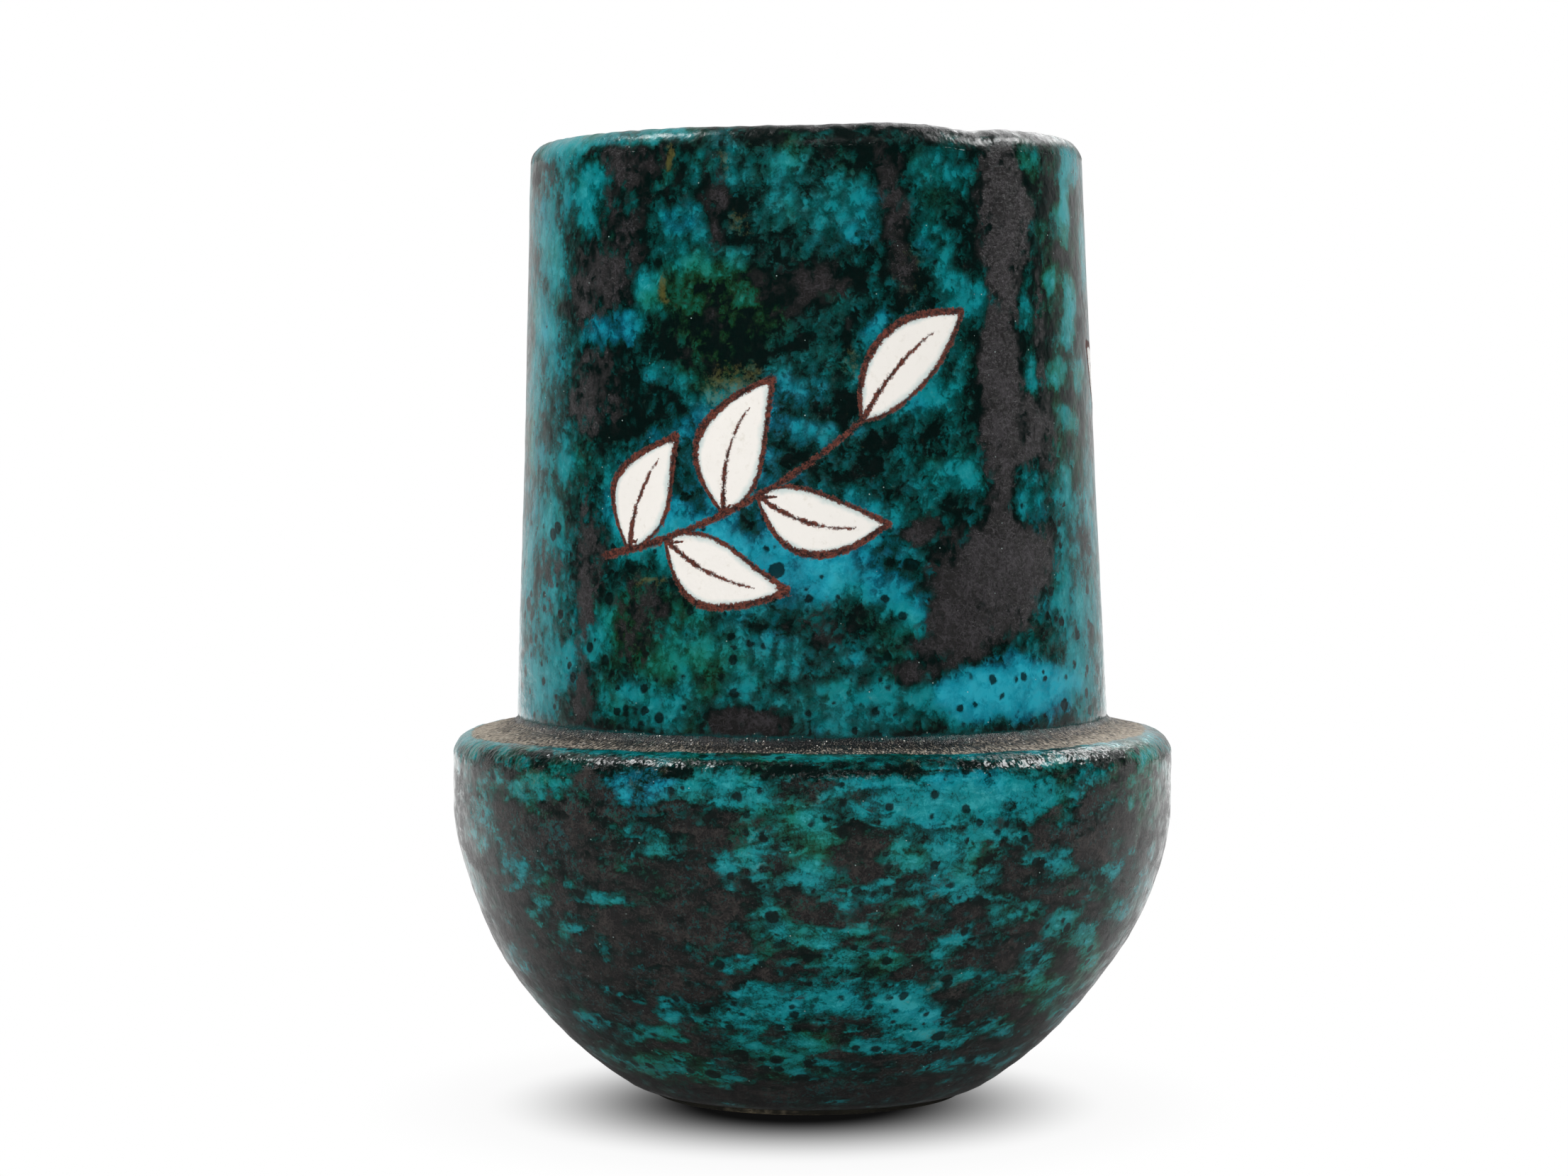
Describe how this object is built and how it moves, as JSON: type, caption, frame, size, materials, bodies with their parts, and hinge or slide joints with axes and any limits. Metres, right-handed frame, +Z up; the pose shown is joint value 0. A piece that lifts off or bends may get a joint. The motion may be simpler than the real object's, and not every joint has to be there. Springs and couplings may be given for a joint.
{
  "type": "ceramic vase",
  "caption": "Glazed stoneware vase: a rounded bowl with a turned-in shoulder and ledge carries a wide, slightly conical neck with a thick rounded lip.",
  "frame": {"origin": "on the axis, at the level the foot ring stands on", "axes": "+Z up along the axis, -Y towards the front that the picture shows, +X to the right of it"},
  "size_m": [0.1516, 0.1516, 0.2006],
  "materials": {
    "bowl_glaze": "glossy mottled turquoise and black glaze",
    "neck_glaze": "glossy mottled turquoise and black glaze with white enamel leaves",
    "joint_slip": "matte fired slip",
    "gritty_slip": "matte gritty fired slip",
    "coil_clay": "dark satin glaze",
    "foot_clay": "matte unglazed stoneware"
  },
  "bodies": {
    "root": {"bowl": "bowl_glaze", "neck": "neck_glaze", "slip_bed": "joint_slip", "luting_fillet": "gritty_slip", "inner_coil": "coil_clay", "foot_ring": "foot_clay"}
  },
  "joints": []
}
